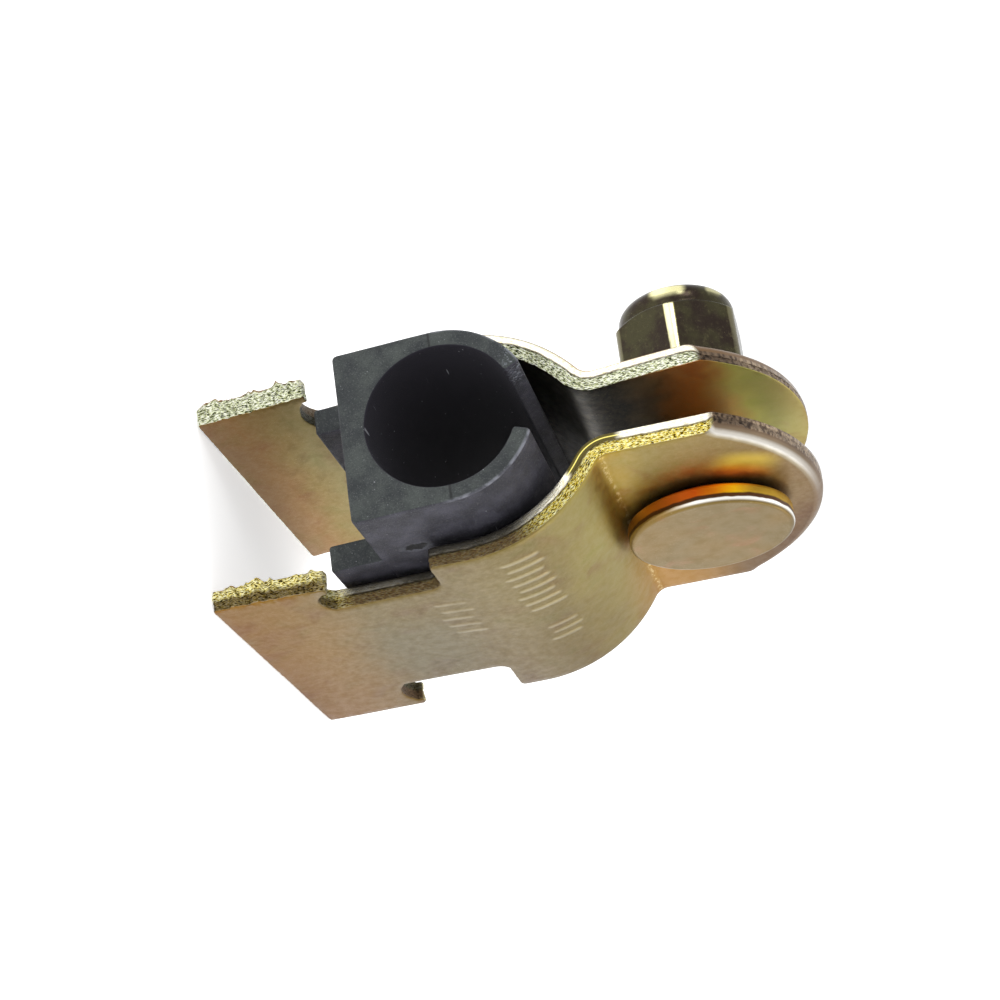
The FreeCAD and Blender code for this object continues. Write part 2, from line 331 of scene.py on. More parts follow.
def slab(loops, section, step, place, fine=None, rough=None):
    """Solid made of an outline, with holes, between a top (t = 0) and a bottom surface (t = 1).

    section lists (inset, t) from the top over the edge to the bottom. place(u, v, t) gives x, y and z.
    rough(u, v, t) is how far the wall moves inwards. Returns coordinates, faces and (u, v, t, wall).
    """
    inset = section[0][0]
    extra, triangles = filling(loops, inset, step, fine)
    outline = np.vstack(loops)
    moves = np.vstack([inward(loop) for loop in loops])
    count = len(outline)
    rings = []
    for depth, t in section:
        ring = outline + moves * depth
        if rough is not None and depth < inset:
            shift = np.array([rough(u, v, t) for u, v in ring])
            ring = ring + moves * (shift * (1 - depth / inset))[:, None]
        rings.append(np.c_[ring, np.full(count, t), np.full(count, 1 - depth / inset)])
    top = np.c_[extra, np.zeros(len(extra)), np.zeros(len(extra))]
    bottom = np.c_[extra, np.ones(len(extra)), np.zeros(len(extra))]
    data = np.vstack(rings + [top, bottom])
    first_top = count * len(section)
    first_bottom = first_top + len(extra)
    last_ring = count * (len(section) - 1)

    def index(i, extra_start, ring_start):
        return ring_start + i if i < count else extra_start + i - count

    faces = []
    for triangle in triangles:
        faces.append([index(i, first_top, 0) for i in triangle])
        faces.append([index(i, first_bottom, last_ring) for i in reversed(triangle)])
    for ring in ring_pairs(loops):
        for r in range(len(section) - 1):
            first = r * count
            faces += [[first + a, first + a + count, first + b + count, first + b] for a, b in ring]
    u, v, t, wall = data.T
    x, y, z = place(u, v, t)
    return np.c_[x, y, z], faces, (u, v, t, wall)


def lathe(rings, segments):
    """Closed surface from a list of functions or numbers (along, radius(angle)), joined end to end."""
    angles = np.arange(segments) * FULL_TURN / segments
    data = []
    for along, radius in rings:
        reach = radius(angles) if callable(radius) else np.full(segments, radius)
        data.append(np.c_[np.full(segments, along), reach, angles])
    faces = []
    for r in range(len(rings) - 1):
        for k in range(segments):
            a = r * segments + k
            b = r * segments + (k + 1) % segments
            faces.append([a, b, b + segments, a + segments])
    return np.vstack(data), faces


def lean(x, z):
    """Lean upright coordinates out about the outer edge of the foot and set them in the frame."""
    dx = x - LEG_OUTSIDE
    leaned_x = LEG_OUTSIDE + dx * math.cos(PLATE_LEAN) + z * math.sin(PLATE_LEAN)
    leaned_z = -dx * math.sin(PLATE_LEAN) + z * math.cos(PLATE_LEAN) - BORE_HEIGHT
    return leaned_x, leaned_z


def on_bolt(data):
    """Coordinates of (distance from the head's underside, radius, angle from the front) points."""
    along, radius, angle = data.T
    x, z = lean(HEAD_UNDERSIDE - along, BOLT_HEIGHT + radius * np.sin(angle))
    return np.c_[x, CLAMP_SHIFT - radius * np.cos(angle), z]


def store(piece, **values):
    """Store values for each point, under their names, for the materials."""
    for name, numbers in values.items():
        attribute = piece.data.attributes.new(name, "FLOAT", "POINT")
        attribute.data.foreach_set("value", np.asarray(numbers, np.float32))


# ---- plates

def plate_outline(step):
    """Outline of the stamping as (across, along): front is negative, along runs from sole to ear."""
    prong = HALF_WIDTH - HOOK_WIDTH
    side, top = SHEET_SIDE, SHEET_LENGTH

    def half(neck, shoulder):
        """One half, given on the positive side, from the sole to the ear."""
        relief = three_point_arc((prong, HOOK_TOP - 0.5), ((neck + prong) / 2, RELIEF_FLOOR),
                                 (neck, RELIEF_START), 0.4)
        corners = [(HALF_WIDTH, 0, 0.3), (HALF_WIDTH, HOOK_TOP, 0.25), (prong, HOOK_TOP, 0.25)]
        corners += [(u, v, 0) for u, v in relief]
        corners += [(neck, shoulder, NECK_FILLET), (HALF_WIDTH, shoulder, SHOULDER_CORNER),
                    (HALF_WIDTH, side, EAR_CORNER)]
        return corners

    ear = three_point_arc((HALF_WIDTH, side), (0, top), (-HALF_WIDTH, side), 0.5)[1:-1]
    back = half(NECK_BACK, SHOULDER_BACK)
    front = [(-u, v, r) for u, v, r in reversed(half(NECK_FRONT, SHOULDER_FRONT))]
    corners = back + [(u, v, 0) for u, v in ear] + front
    return evenly(rounded(corners, step), step)


def sheet_place(along, depth):
    """Upright x and z of a point of the bent sheet, depth outwards from its middle."""
    centre_x = LEG_MIDDLE - BODY_BEND
    ear_x = centre_x + (BODY_BEND + EAR_BEND) * math.cos(BEND_TURN)
    body = np.clip(along - LEG_HEIGHT, 0, BODY_BEND * BEND_TURN) / BODY_BEND
    ear = BEND_TURN - np.clip(along - BODY_END, 0, EAR_BEND * BEND_TURN) / EAR_BEND
    parts = [along <= LEG_HEIGHT, along <= BODY_END]
    x = np.select(parts, [LEG_MIDDLE + depth, centre_x + (BODY_BEND + depth) * np.cos(body)],
                  ear_x - (EAR_BEND - depth) * np.cos(ear))
    z = np.select(parts, [along, LEG_HEIGHT + (BODY_BEND + depth) * np.sin(body)],
                  EAR_START_HEIGHT - (EAR_BEND - depth) * np.sin(ear) + np.maximum(along - EAR_START, 0))
    return x, z


# Rows of plain raised strokes on the outer face, in place of a stamped mark:
# (first across, spacing, number, middle along, length, height)
STROKE_ROWS = (
    (-12.6, 1.55, 8, 26.2, 3.4, 0.055),
    (3.3, 1.5, 3, 26.6, 2.9, 0.045),
    (-7.6, 1.7, 5, 18.9, 3.0, 0.03),
)
STROKE_WIDTH = 0.36
STROKE_SLANT = 0.16
BURR_WIDTH = 0.45
BURR_HEIGHT = 0.8

# Mesh spacing of the plates: along their outline, on their faces, under the strokes and at the rolled edge
OUTLINE_STEP = 0.24
FACE_STEP = 0.55
STROKE_STEP = 0.2
ROLL_STEP = 0.26


def strokes(across, along):
    """Height of the raised strokes on the outer face."""
    height = np.zeros_like(across)
    for first, spacing, number, middle, length, top in STROKE_ROWS:
        for k in range(number):
            off = np.abs(across - first - spacing * k - STROKE_SLANT * (along - middle)) / STROKE_WIDTH
            end = (np.abs(along - middle - 0.25 * math.sin(2.1 * k)) - length / 2) / STROKE_WIDTH + 1
            distance = np.sqrt(off ** 2 + np.maximum(end, 0) ** 2)
            height = np.maximum(height, top * np.clip(1 - distance ** 2, 0, 1))
    return height


def ear_depth(across, along):
    """Distance inwards from the ear's round end."""
    return EAR_RADIUS - np.hypot(across, along - (SHEET_LENGTH - EAR_RADIUS))


def ear_start(along):
    """0 below the ear's round end and 1 along it."""
    return np.clip((along - SHEET_SIDE + 1.2) / 1.2, 0, 1)


def ear_roll(across, along):
    """How far the outer face falls away at the rolled-over edge of the ear's round end."""
    left = EAR_ROLL - np.clip(ear_depth(across, along), 0, EAR_ROLL)
    return (EAR_ROLL - np.sqrt(EAR_ROLL ** 2 - left ** 2)) * ear_start(along)


def wander(across, along, scale, seed):
    """Smooth noise between about -1 and 1 for arrays of points."""
    return np.array([noise.noise(Vector((u * scale, v * scale, seed))) for u, v in zip(across, along)])


def foot_burr(across, along, seed):
    """Height of the torn burr that stands along the cut ends of the foot."""
    at_end = np.clip((np.abs(across) - HALF_WIDTH + BURR_WIDTH) / 0.3, 0, 1)
    on_foot = (along > 0.3) & (along < HOOK_TOP)
    teeth = wander(along, across * 0.1, 1.1, seed) + 0.6 * wander(along, across * 0.1, 3.3, seed + 2)
    return np.where(on_foot, at_end * np.maximum(teeth + 0.05, 0) * BURR_HEIGHT, 0)


def plate_mesh(hole_radius, smooth_band, seed):
    """The stamping, with its rolled and torn edges. smooth_band is the t range of the sheared band."""
    outline = plate_outline(OUTLINE_STEP)
    circle = arc_points((0, HEAD_ALONG), hole_radius, FULL_TURN, 0, OUTLINE_STEP)[:-1]
    section = [(0.2, 0), (0.13, 0.012), (0.07, 0.035), (0.025, 0.07), (0, 0.12)]
    section += [(0, t) for t in np.linspace(0.2, 0.94, 11)]
    section += [(0.02, 0.975), (0.07, 0.992), (0.2, 1)]
    low, high = smooth_band

    def rough(u, v, t):
        """Torn metal over most of the wall and a smooth sheared band over the rest."""
        spot = Vector((u * 2.6, v * 2.6, t * 5 + seed))
        torn = noise.noise(spot) * 0.06 + noise.noise(spot * 2.7) * 0.04
        if v < HOOK_TOP + 0.5 and abs(u) > HALF_WIDTH - 0.5:
            jag = noise.noise(Vector((v * 1.7, t * 2.2, seed)))
            jag += 0.6 * noise.noise(Vector((v * 4.1, t * 4, seed)))
            return 0.1 + torn * 1.6 + 0.3 * max(jag, -0.25)
        band = min(max((t - low) / 0.06, 0), 1) * min(max((high - t) / 0.06, 0), 1)
        on_round_end = float(ear_start(v))
        return 0.03 + torn * 1.1 * (1 - band) * (1 - 0.6 * on_round_end) - 0.03 * band

    def place(u, v, t):
        waves = wander(u, v, 0.13, seed) * 0.05
        burr = foot_burr(u, v, seed)
        outer = HALF - ear_roll(u, v) + strokes(u, v) + waves
        inner = -HALF + waves
        if low > 0:
            inner = inner - burr
        else:
            outer = outer + burr
        x, z = lean(*sheet_place(v, outer * (1 - t) + inner * t))
        return x, u, z

    fine = [((-14.6, 23.6), (7.2, 29.2), STROKE_STEP), ((-9.2, 16.4), (1.6, 20.8), STROKE_STEP),
            ((-16, SHEET_SIDE - 1.5), (-8, SHEET_LENGTH), ROLL_STEP),
            ((8, SHEET_SIDE - 1.5), (16, SHEET_LENGTH), ROLL_STEP),
            ((-8, SHEET_LENGTH - 3.6), (8, SHEET_LENGTH), ROLL_STEP)]
    return slab([outline, np.array(circle)], section, FACE_STEP, place, fine, rough)


def make_plate(name, body, node, hole_radius, smooth_band, turned_round, seed):
    coordinates, faces, (u, v, t, wall) = plate_mesh(hole_radius, smooth_band, seed)
    if turned_round:
        coordinates[:, :2] *= -1
    coordinates[:, 1] += CLAMP_SHIFT
    piece = finish_object(name, coordinates, faces, body, node)
    store(piece, across=u, along=v, through=t, wall=wall,
          stroke=np.clip(strokes(u, v) / STROKE_ROWS[0][5], 0, 1),
          rolled=np.clip(1 - ear_depth(u, v) / EAR_ROLL, 0, 1) * ear_start(v))
    return piece


# ---- liner

def liner_outline(step):
    """C-shaped section of the liner in (x, z): a block with round arms, open at the top."""
    start = math.pi / 2 - MOUTH_HALF_ANGLE
    end = math.pi / 2 + MOUTH_HALF_ANGLE - FULL_TURN

    def polar(radius, angle):
        return radius * math.cos(angle), radius * math.sin(angle)

    tip = 0.28
    outer_right = [(x, z, 0) for x, z in arc_points((0, 0), LINER_RADIUS, 0, start, step)[:-1]]
    outer_left = [(-x, z, 0) for x, z, _ in reversed(outer_right)]
    bore = arc_points((0, 0), BORE_RADIUS, start, end, step)[1:-1]
    corners = [(-LINER_RADIUS, -BLOCK_DEPTH, BLOCK_CORNER), (LINER_RADIUS, -BLOCK_DEPTH, BLOCK_CORNER)]
    corners += outer_right[:-1]
    corners += [(*polar(LINER_RADIUS, start), tip), (*polar(BORE_RADIUS, start), tip)]
    corners += [(x, z, 0) for x, z in bore]
    corners += [(*polar(BORE_RADIUS, math.pi - start), tip), (*polar(LINER_RADIUS, math.pi - start), tip)]
    corners += outer_left[1:]
    return evenly(rounded(corners, step), step)


def both_ends(edge, margin, count):
    """Section of a bar for slab: an edge at either end, and count steps between the margins."""
    middle = [(0, t) for t in np.linspace(margin, 1 - margin, count)]
    return edge + middle + [(inset, 1 - t) for inset, t in reversed(edge)]


def make_liner():
    """Moulded liner: the split sleeve with its block, joined to two lugs."""
    step = 0.34
    half = LINER_LENGTH / 2
    edge = [(0.2, 0), (0.11, 0.03 / LINER_LENGTH), (0.04, 0.09 / LINER_LENGTH), (0, 0.22 / LINER_LENGTH)]
    section = both_ends(edge, 0.6 / LINER_LENGTH, 90)

    def rough(u, v, t):
        """Slight unevenness of the moulded skin, and a short chafed pit beside the shoulder."""
        y = t * LINER_LENGTH - half
        uneven = 0.035 * noise.noise(Vector((u * 0.35, v * 0.35, y * 0.2)))
        pit = 0
        if u > 0:
            away = math.hypot((y + PIT_ALONG) / 0.5, (v + PIT_BELOW) / 1.1)
            pit = PIT_DEPTH * max(0, 1 - away ** 2)
        return 0.02 + uneven + pit

    def place(u, v, t):
        y = t * LINER_LENGTH - half
        dents = 0.03 * wander(u, v, 0.5, 3.0)
        y = np.where(t == 0, y + np.abs(dents), np.where(t == 1, y - np.abs(dents), y))
        return u, y, v

    coordinates, faces, _ = slab([liner_outline(step)], section, 0.5, place, None, rough)
    sleeve = finish_object("liner_sleeve", coordinates, faces, "head_half", "rubber_liner")
    top = -BLOCK_DEPTH + 0.5
    for side in (-1, 1):
        outer, inner = side * LINER_RADIUS, side * (LINER_RADIUS - LUG_THICKNESS)
        corners = [(min(outer, inner), -LUG_DEPTH, 0.3), (max(outer, inner), -LUG_DEPTH, 0.3),
                   (max(outer, inner), top, 0.25), (min(outer, inner), top, 0.25)]
        join_lug(sleeve, evenly(rounded(corners, 0.15), 0.35))
    return sleeve


def join_lug(sleeve, outline):
    """Unite one lug with the sleeve."""
    section = both_ends([(0.2, 0), (0.1, 0.0015), (0.03, 0.004), (0, 0.009)], 0.04, 60)

    def place(u, v, t):
        return u * 0.999, (t - 0.5) * LUG_LENGTH, v

    coordinates, faces, _ = slab([outline], section, 0.5, place)
    lug = mesh_object("lug", coordinates, faces)
    union = sleeve.modifiers.new("union", "BOOLEAN")
    union.operation = "UNION"
    union.solver = "EXACT"
    union.object = lug
    bpy.context.view_layer.update()
    joined = bpy.data.meshes.new_from_object(sleeve.evaluated_get(bpy.context.evaluated_depsgraph_get()))
    sleeve.modifiers.clear()
    sleeve.data = joined
    smooth(joined)
    bpy.data.objects.remove(lug)


# ---- bolt, nut and ring

def helix_radius(along, crest, depth, inner=False):
    """Radius as a function of angle on a right-hand thread, at one distance along the bolt."""
    def radius(angles):
        phase = (along / THREAD_PITCH + angles / FULL_TURN) % 1
        ridge = np.clip(np.abs(phase - 0.5) * 2 * 1.25 - 0.12, 0, 1)
        return crest + depth * ridge if inner else crest - depth * ridge
    return radius


def make_bolt():
    """Flat round head, plain shoulder and cut thread."""
    head = -HEAD_THICKNESS
    face = [(head + 0.02, 0.001)]
    for radius in np.linspace(0.3, HEAD_RADIUS - 0.65, 30):
        face.append((head + 0.02 * (1 - (radius / HEAD_RADIUS) ** 4), radius))
    rim = arc_points((head + 0.5, HEAD_RADIUS - 0.5), 0.5, math.pi, math.pi / 2, 0.08)
    side = [(a, HEAD_RADIUS) for a in np.linspace(head + 0.6, -HEAD_BEVEL - 0.1, 9)]
    under = [(-HEAD_BEVEL, HEAD_RADIUS - 0.04), (0, HEAD_RADIUS - HEAD_BEVEL_WIDTH)]
    fillet = [(0, SHOULDER_RADIUS + 0.4), (0, SHOULDER_RADIUS + 0.1), (0.08, SHOULDER_RADIUS)]
    shank = [(a, SHOULDER_RADIUS) for a in np.linspace(0.5, SHOULDER_LENGTH - 0.3, 12)]
    step_down = [(SHOULDER_LENGTH, SHOULDER_RADIUS - 0.3), (SHOULDER_LENGTH, THREAD_RADIUS - 0.5)]
    rings = face + rim + side + under + fillet + shank + step_down
    thread_start = SHOULDER_LENGTH + 0.7
    rings.append((thread_start - 0.25, THREAD_RADIUS - THREAD_DEPTH + 0.05))
    for along in np.linspace(thread_start, BOLT_LENGTH - 0.02, 116):
        lead = min(1, (along - thread_start) / 0.9)
        end = max(0, along - (BOLT_LENGTH - 0.75)) * 0.8
        thread = helix_radius(along, THREAD_RADIUS - THREAD_DEPTH * (1 - lead), THREAD_DEPTH * lead)
        limit = THREAD_RADIUS - end
        rings.append((along, lambda angles, thread=thread, limit=limit: np.minimum(thread(angles), limit)))
    rings += [(BOLT_LENGTH, THREAD_RADIUS - 0.95), (BOLT_LENGTH, 0.001)]
    data, faces = lathe(rings, BOLT_SEGMENTS)
    bolt = finish_object("round_head_bolt", on_bolt(data), faces, "head_half", "shoulder_bolt")
    store(bolt, below_face=data[:, 0] + HEAD_THICKNESS, out=data[:, 1])
    return bolt


def from_corner(angles):
    """Angle to the nearest corner of the hexagon, whose first corner is at angle 0."""
    return np.abs((angles + math.pi / 6) % (math.pi / 3) - math.pi / 6)


def make_nut():
    """Hexagonal lock nut with chamfered corners and a round collar rolled over its ring."""
    corner = NUT_FLATS / math.sqrt(3)
    hex_end = NUT_START + NUT_HEX_HEIGHT
    end = NUT_START + NUT_HEIGHT

    def hexagon(limit):
        """Radius of the hexagon with worn corners, turned down to the limit."""
        def radius(angles):
            flat = np.minimum(NUT_FLATS / 2 / np.cos(math.pi / 6 - from_corner(angles)), corner - CORNER_WEAR)
            gap = np.clip((limit - flat) / 0.12, -1, 1)
            return np.minimum(flat, limit) - 0.03 * (1 - np.abs(gap))
        return radius

    rings = [(NUT_START, NUT_BORE + 0.45), (NUT_START, NUT_FLATS / 2 - 0.25)]
    for share in np.arange(12) / 11:
        limit = NUT_FLATS / 2 - 0.15 + (corner - NUT_FLATS / 2 + 0.1) * share
        rings.append((NUT_START + NUT_CHAMFER * share, hexagon(limit)))
    for along in np.linspace(NUT_START + NUT_CHAMFER + 0.2, hex_end - NUT_CHAMFER - 0.15, 24):
        rings.append((along, hexagon(corner)))
    for share in np.arange(13) / 12:
        limit = corner - 0.05 - (corner - COLLAR_RADIUS) * share ** 1.25
        rings.append((hex_end - NUT_CHAMFER + (NUT_CHAMFER + 0.12) * share, hexagon(limit)))
    rings.append((hex_end + 0.2, COLLAR_RADIUS - 0.06))
    rings.append((hex_end + 0.35, COLLAR_RADIUS))
    for share in np.linspace(0, 1, 14)[1:]:
        angle = share * math.pi / 2
        rings.append((end - COLLAR_ROUND * (1 - math.sin(angle)),
                      COLLAR_RADIUS - COLLAR_ROUND * (1 - math.cos(angle))))
    ring_end = NUT_START + NUT_HEX_HEIGHT + RING_THICKNESS + RING_GAP
    rings += [(end - 0.04, LIP_RADIUS + 0.06), (end - 0.14, LIP_RADIUS), (ring_end, LIP_RADIUS)]
    rings += [(ring_end, RING_RADIUS + RING_GAP), (hex_end - RING_GAP, RING_RADIUS + RING_GAP)]
    rings.append((hex_end - RING_GAP, NUT_BORE + 0.3))
    for along in np.linspace(hex_end - 0.3, NUT_START + 0.45, 50):
        rings.append((along, helix_radius(along, NUT_BORE, 0.3, inner=True)))
    rings.append(rings[0])
    data, faces = lathe(rings, NUT_SEGMENTS)
    nut = finish_object("hex_lock_nut", on_bolt(data), faces, "nut", "lock_nut")
    along, radius, angles = data.T
    on_hexagon = (radius > COLLAR_RADIUS + 0.1) & (along < hex_end)
    # Where the painted highlights go: near the corners of the hexagon and round the collar's shoulder.
    corner_glint = np.clip(1 - (np.degrees(from_corner(angles)) - 3.5) / 2.5, 0, 1)
    into_round = (along - (end - COLLAR_ROUND)) / COLLAR_ROUND
    shoulder = np.clip(1.5 - np.abs(into_round - 0.4) / 0.32, 0, 1)
    store(nut, corner=np.where(on_hexagon, corner_glint, 0),
          shoulder=np.where(radius > LIP_RADIUS + 0.2, shoulder, 0))
    return nut


def make_ring():
    """Nylon ring inside the nut's collar."""
    start = NUT_START + NUT_HEX_HEIGHT
    edge = 0.18
    corners = [(start, NUT_BORE, edge), (start + RING_THICKNESS, NUT_BORE, edge),
               (start + RING_THICKNESS, RING_RADIUS, edge), (start, RING_RADIUS, edge)]
    loop = rounded(corners, 0.06)
    data, faces = lathe(loop + loop[:1], BOLT_SEGMENTS)
    return finish_object("nylon_insert", on_bolt(data), [face[::-1] for face in faces],
                         "nut_carrier", "nylon_ring")


# ---- materials

def linear(colour):
    """Linear colour of an (R, G, B) triple of sRGB values from 0 to 255. Anything else stays as it is."""
    if not isinstance(colour, tuple) or len(colour) != 3:
        return colour

    def channel(value):
        value /= 255
        return value / 12.92 if value <= 0.04045 else ((value + 0.055) / 1.055) ** 2.4
    return *(channel(value) for value in colour), 1.0


class Shader:
    """Small helper that adds and links nodes of one material."""

    def __init__(self, name):
        self.material = bpy.data.materials.new(name)
        self.material.use_nodes = True
        self.tree = self.material.node_tree
        self.surface = self.tree.nodes["Principled BSDF"]

    def node(self, kind, settings=None, **inputs):
        made = self.tree.nodes.new(kind)
        for key, value in (settings or {}).items():
            setattr(made, key, value)
        for key, value in inputs.items():
            self.put(made.inputs[key.replace("_", " ")], value)
        return made

    def put(self, socket, value):
        if isinstance(value, bpy.types.NodeSocket):
            self.tree.links.new(value, socket)
        else:
            socket.default_value = value

    def attribute(self, name):
        return self.node("ShaderNodeAttribute", {"attribute_name": name}).outputs["Fac"]

    def math(self, operation, first, *others):
        """Combine the first value with each of the others in turn."""
        for other in others or (0.0,):
            made = self.node("ShaderNodeMath", {"operation": operation})
            self.put(made.inputs[0], first)
            self.put(made.inputs[1], other)
            first = made.outputs[0]
        return first

    def times(self, *values):
        return self.math("MULTIPLY", *values)

    def plus(self, *values):
        return self.math("ADD", *values)

    def minus(self, first, second):
        return self.math("SUBTRACT", first, second)

    def length(self, first, second):
        """Length of the hypotenuse over two sides."""
        return self.math("SQRT", self.plus(self.math("POWER", first, 2.0), self.math("POWER", second, 2.0)))

    def span(self, value, low, high, to_low=0.0, to_high=1.0):
        """Move smoothly from to_low to to_high while the value goes from low to high."""
        return self.node("ShaderNodeMapRange", {"interpolation_type": "SMOOTHSTEP"}, Value=value,
                         From_Min=low, From_Max=high, To_Min=to_low, To_Max=to_high).outputs[0]

    def fall(self, value, start, end, peak=1.0):
        return self.span(value, start, end, peak, 0.0)

    def patch(self, value, middle, inner, outer, peak=1.0):
        """The peak within inner of the middle, fading to 0 at outer."""
        return self.fall(self.math("ABSOLUTE", self.minus(value, middle)), inner, outer, peak)

    def noise(self, vector, scale, detail=3.0, roughness=0.55, distortion=0.0):
        return self.node("ShaderNodeTexNoise", Vector=vector, Scale=scale, Detail=detail,
                         Roughness=roughness, Distortion=distortion).outputs["Fac"]

    def mix(self, factor, first, second, blend="MIX"):
        made = self.node("ShaderNodeMix", {"data_type": "RGBA", "blend_type": blend})
        for socket, value in ((0, factor), (6, linear(first)), (7, linear(second))):
            self.put(made.inputs[socket], value)
        return made.outputs[2]

    def mottled(self, base, vector, rows):
        """Mix colours into the base by noise. rows are (noise, its span, colour[, blend])."""
        for noise_settings, span_settings, colour, *blend in rows:
            amount = self.span(self.noise(vector, *noise_settings), *span_settings)
            base = self.mix(amount, base, colour, *blend)
        return base

    def finish(self, base, roughness, normal=None, **others):
        """Set the surface's inputs and return the material."""
        others.update({"Base Color": linear(base), "Roughness": roughness, "Normal": normal})
        for name, value in others.items():
            if value is not None:
                self.put(self.surface.inputs[name.replace("_", " ")], value)
        return self.material

    def ramp(self, value, stops):
        """stops are (place, sRGB colour) pairs."""
        made = self.tree.nodes.new("ShaderNodeValToRGB")
        elements = made.color_ramp.elements
        while len(elements) < len(stops):
            elements.new(0.5)
        for element, (place, colour) in zip(elements, stops):
            element.position = place
            element.color = linear(colour)
        self.put(made.inputs[0], value)
        return made.outputs[0]

    def bump(self, height, strength, distance, normal=None):
        made = self.node("ShaderNodeBump", Height=height, Strength=strength, Distance=distance)
        if normal is not None:
            self.put(made.inputs["Normal"], normal)
        return made.outputs[0]

    def stretched(self, vector, scale, turn=(0, 0, 0)):
        return self.node("ShaderNodeMapping", Vector=vector, Scale=scale, Rotation=turn).outputs[0]

    def position(self):
        """Object coordinates in millimetres."""
        return self.stretched(self.node("ShaderNodeTexCoord").outputs["Object"], (1 / MM,) * 3)


# Colours of the plates' faces from the sole (0) to the top of the ear (1)
OUTER_COLOURS = (
    (0.00, (129, 90, 34)), (0.10, (124, 92, 36)), (0.22, (103, 88, 50)), (0.36, (102, 87, 51)),
    (0.50, (118, 103, 56)), (0.60, (152, 138, 72)), (0.67, (160, 132, 44)), (0.75, (134, 117, 58)),
    (0.86, (130, 109, 62)), (0.95, (120, 93, 52)), (1.00, (108, 82, 48)))
# The inner faces are painted dark from 0.46 to 0.72: painted shade between the plates, beside the liner.
INNER_COLOURS_AND_SHADE = (
    (0.00, (140, 108, 72)), (0.05, (142, 106, 58)), (0.10, (136, 114, 58)), (0.15, (134, 122, 74)),
    (0.20, (120, 96, 56)), (0.27, (108, 82, 52)), (0.36, (104, 90, 66)), (0.46, (52, 48, 44)),
    (0.72, (60, 58, 52)), (0.765, (146, 122, 84)), (0.80, (200, 148, 88)), (0.84, (210, 150, 84)),
    (0.88, (208, 176, 108)), (0.91, (192, 190, 110)), (0.94, (168, 164, 94)), (1.00, (160, 144, 76)))
# Warm, green and pale clouds, then light and dark specks: (noise, its span, colour, blend)
FACE_MOTTLES = (
    ((0.22, 2.0, 0.5, 0.6), (0.52, 0.72, 0.0, 0.35), (208, 140, 100), "MULTIPLY"),
    ((0.31, 2.0, 0.5, 0.4), (0.54, 0.75, 0.0, 0.4), (226, 244, 196), "MULTIPLY"),
    ((1.9, 5.0, 0.65), (0.35, 0.7, 0.0, 0.14), (178, 160, 122)),
    ((8.5, 3.0, 0.65), (0.60, 0.76, 0.0, 0.3), (214, 200, 160)),
    ((7.1, 3.0, 0.65), (0.26, 0.4, 0.28, 0.0), (84, 68, 44)))
# Colours of the torn metal on the cut edges, by the height of its grain: grain colour, with painted glints on
# the high grains and painted shade in the low ones
YELLOW_TORN_GRAIN_AND_GLINTS = (
    (0.48, (26, 17, 6)), (0.53, (116, 84, 14)), (0.57, (208, 174, 26)), (0.61, (252, 230, 76)),
    (0.70, (255, 252, 200)))
PALE_TORN_GRAIN_AND_GLINTS = (
    (0.48, (26, 28, 20)), (0.53, (86, 92, 54)), (0.57, (164, 170, 112)), (0.61, (232, 238, 190)),
    (0.70, (255, 255, 246)))
# Painted light and shade on the rolled-over edge, from where it begins (0) to its rim (1): a painted highlight
# in the middle, painted shade at the rim
ROLL_LIGHT_AND_SHADE = (
    (0.00, (140, 124, 92)), (0.30, (152, 142, 120)), (0.50, (206, 202, 194)), (0.68, (196, 190, 180)),
    (0.84, (120, 104, 84)), (1.00, (84, 64, 50)))


